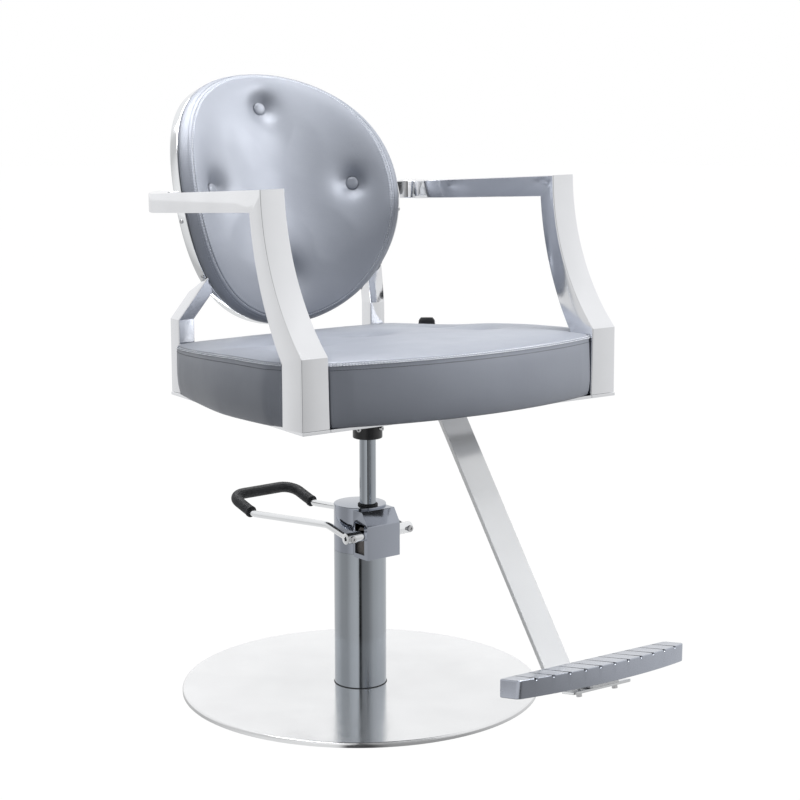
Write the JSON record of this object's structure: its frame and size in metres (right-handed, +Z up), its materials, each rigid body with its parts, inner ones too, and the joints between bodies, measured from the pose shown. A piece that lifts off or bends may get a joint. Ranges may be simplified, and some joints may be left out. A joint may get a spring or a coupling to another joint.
{
  "type": "hydraulic styling chair",
  "caption": "Salon styling chair: round tufted back in a metal ring, padded seat, bent flat arms, grooved footrest and a pump column on a round disc.",
  "frame": {"origin": "centre of the base disc on the floor, on the axis of the pump column", "axes": "+Z up; the sitter faces -Y; +X is the sitter's left"},
  "size_m": [0.6076, 1.0205, 1.0176],
  "materials": {
    "chrome": "polished",
    "polished_aluminium": "polished",
    "zinc_steel": "satin",
    "black_steel": "satin",
    "pump_casting": "satin",
    "footrest_casting": "satin",
    "black_plastic": "satin",
    "black_rubber": "matte",
    "leatherette": "satin",
    "plywood": "matte"
  },
  "bodies": {
    "base": {"floor_pad": "black_rubber", "base_plate": "black_steel", "base_cover": "chrome", "base_bolt_1": "zinc_steel", "base_bolt_2": "zinc_steel", "base_bolt_3": "zinc_steel", "base_bolt_4": "zinc_steel", "pump_tube": "chrome", "pump_bottom": "pump_casting", "cylinder_liner": "zinc_steel", "pump_head": "pump_casting", "head_cover": "chrome", "rod_wiper": "black_rubber", "plunger_barrel": "zinc_steel", "plunger_spring": "zinc_steel"},
    "foot_lever": {"cross_shaft": "chrome", "lever_bar": "chrome", "lever_grip": "black_rubber", "clamp_bolt_left": "zinc_steel", "clamp_bolt_right": "zinc_steel", "rocker_fork": "pump_casting"},
    "plunger": {"pump_plunger": "zinc_steel"},
    "piston": {"piston_head": "zinc_steel", "piston_rod": "chrome"},
    "seat": {"swivel_socket": "black_plastic", "swivel_plate": "black_steel", "cross_rail_front": "black_steel", "cross_rail_rear": "black_steel", "front_rail": "chrome", "rear_rail": "chrome", "side_rail_left": "chrome", "side_rail_right": "chrome", "arm_frame_left": "polished_aluminium", "arm_frame_right": "polished_aluminium", "rear_leg_left": "polished_aluminium", "rear_leg_right": "polished_aluminium", "back_ring": "chrome", "back_board": "plywood", "rear_panel": "leatherette", "back_cushion": "leatherette", "back_button_1": "leatherette", "back_button_2": "leatherette", "back_button_3": "leatherette", "back_button_4": "leatherette", "seat_board": "plywood", "seat_cushion": "leatherette", "footrest_bar": "chrome", "footrest_plate": "footrest_casting", "footrest_clamp": "chrome", "footrest_bolt_left": "zinc_steel", "footrest_bolt_right": "zinc_steel", "lock_pivot_pin": "zinc_steel"},
    "lock_lever": {"lock_lever": "zinc_steel", "lock_grip": "black_plastic"}
  },
  "joints": [
    {"name": "piston_lift", "type": "slide", "parent": "base", "child": "piston", "axis": [0, 0, 1], "range_m": [-0.07, 0.08]},
    {"name": "seat_swivel", "type": "hinge", "parent": "piston", "child": "seat", "pos_m": [0.00151, -0.02155, 0.45], "axis": [0, 0, 1], "continuous": true},
    {"name": "foot_lever_press", "type": "hinge", "parent": "base", "child": "foot_lever", "pos_m": [0.00341, -0.04878, 0.2775], "axis": [-0.9976, -0.0698, 0], "range_deg": [0, 16], "stiffness_Nm_per_rad": 8, "springref_deg": -34.38},
    {"name": "plunger_push", "type": "slide", "parent": "base", "child": "plunger", "axis": [0, 0, 1], "range_m": [-0.02, 0], "deforming": ["plunger_spring"]},
    {"name": "lock_swing", "type": "hinge", "parent": "seat", "child": "lock_lever", "pos_m": [0.0565, 0.01345, 0.478], "axis": [0, 0, 1], "range_deg": [-15, 0]}
  ],
  "couplings": [
    {"joint": "plunger_push", "follows": "foot_lever_press", "m_per_rad": -0.0694}
  ]
}
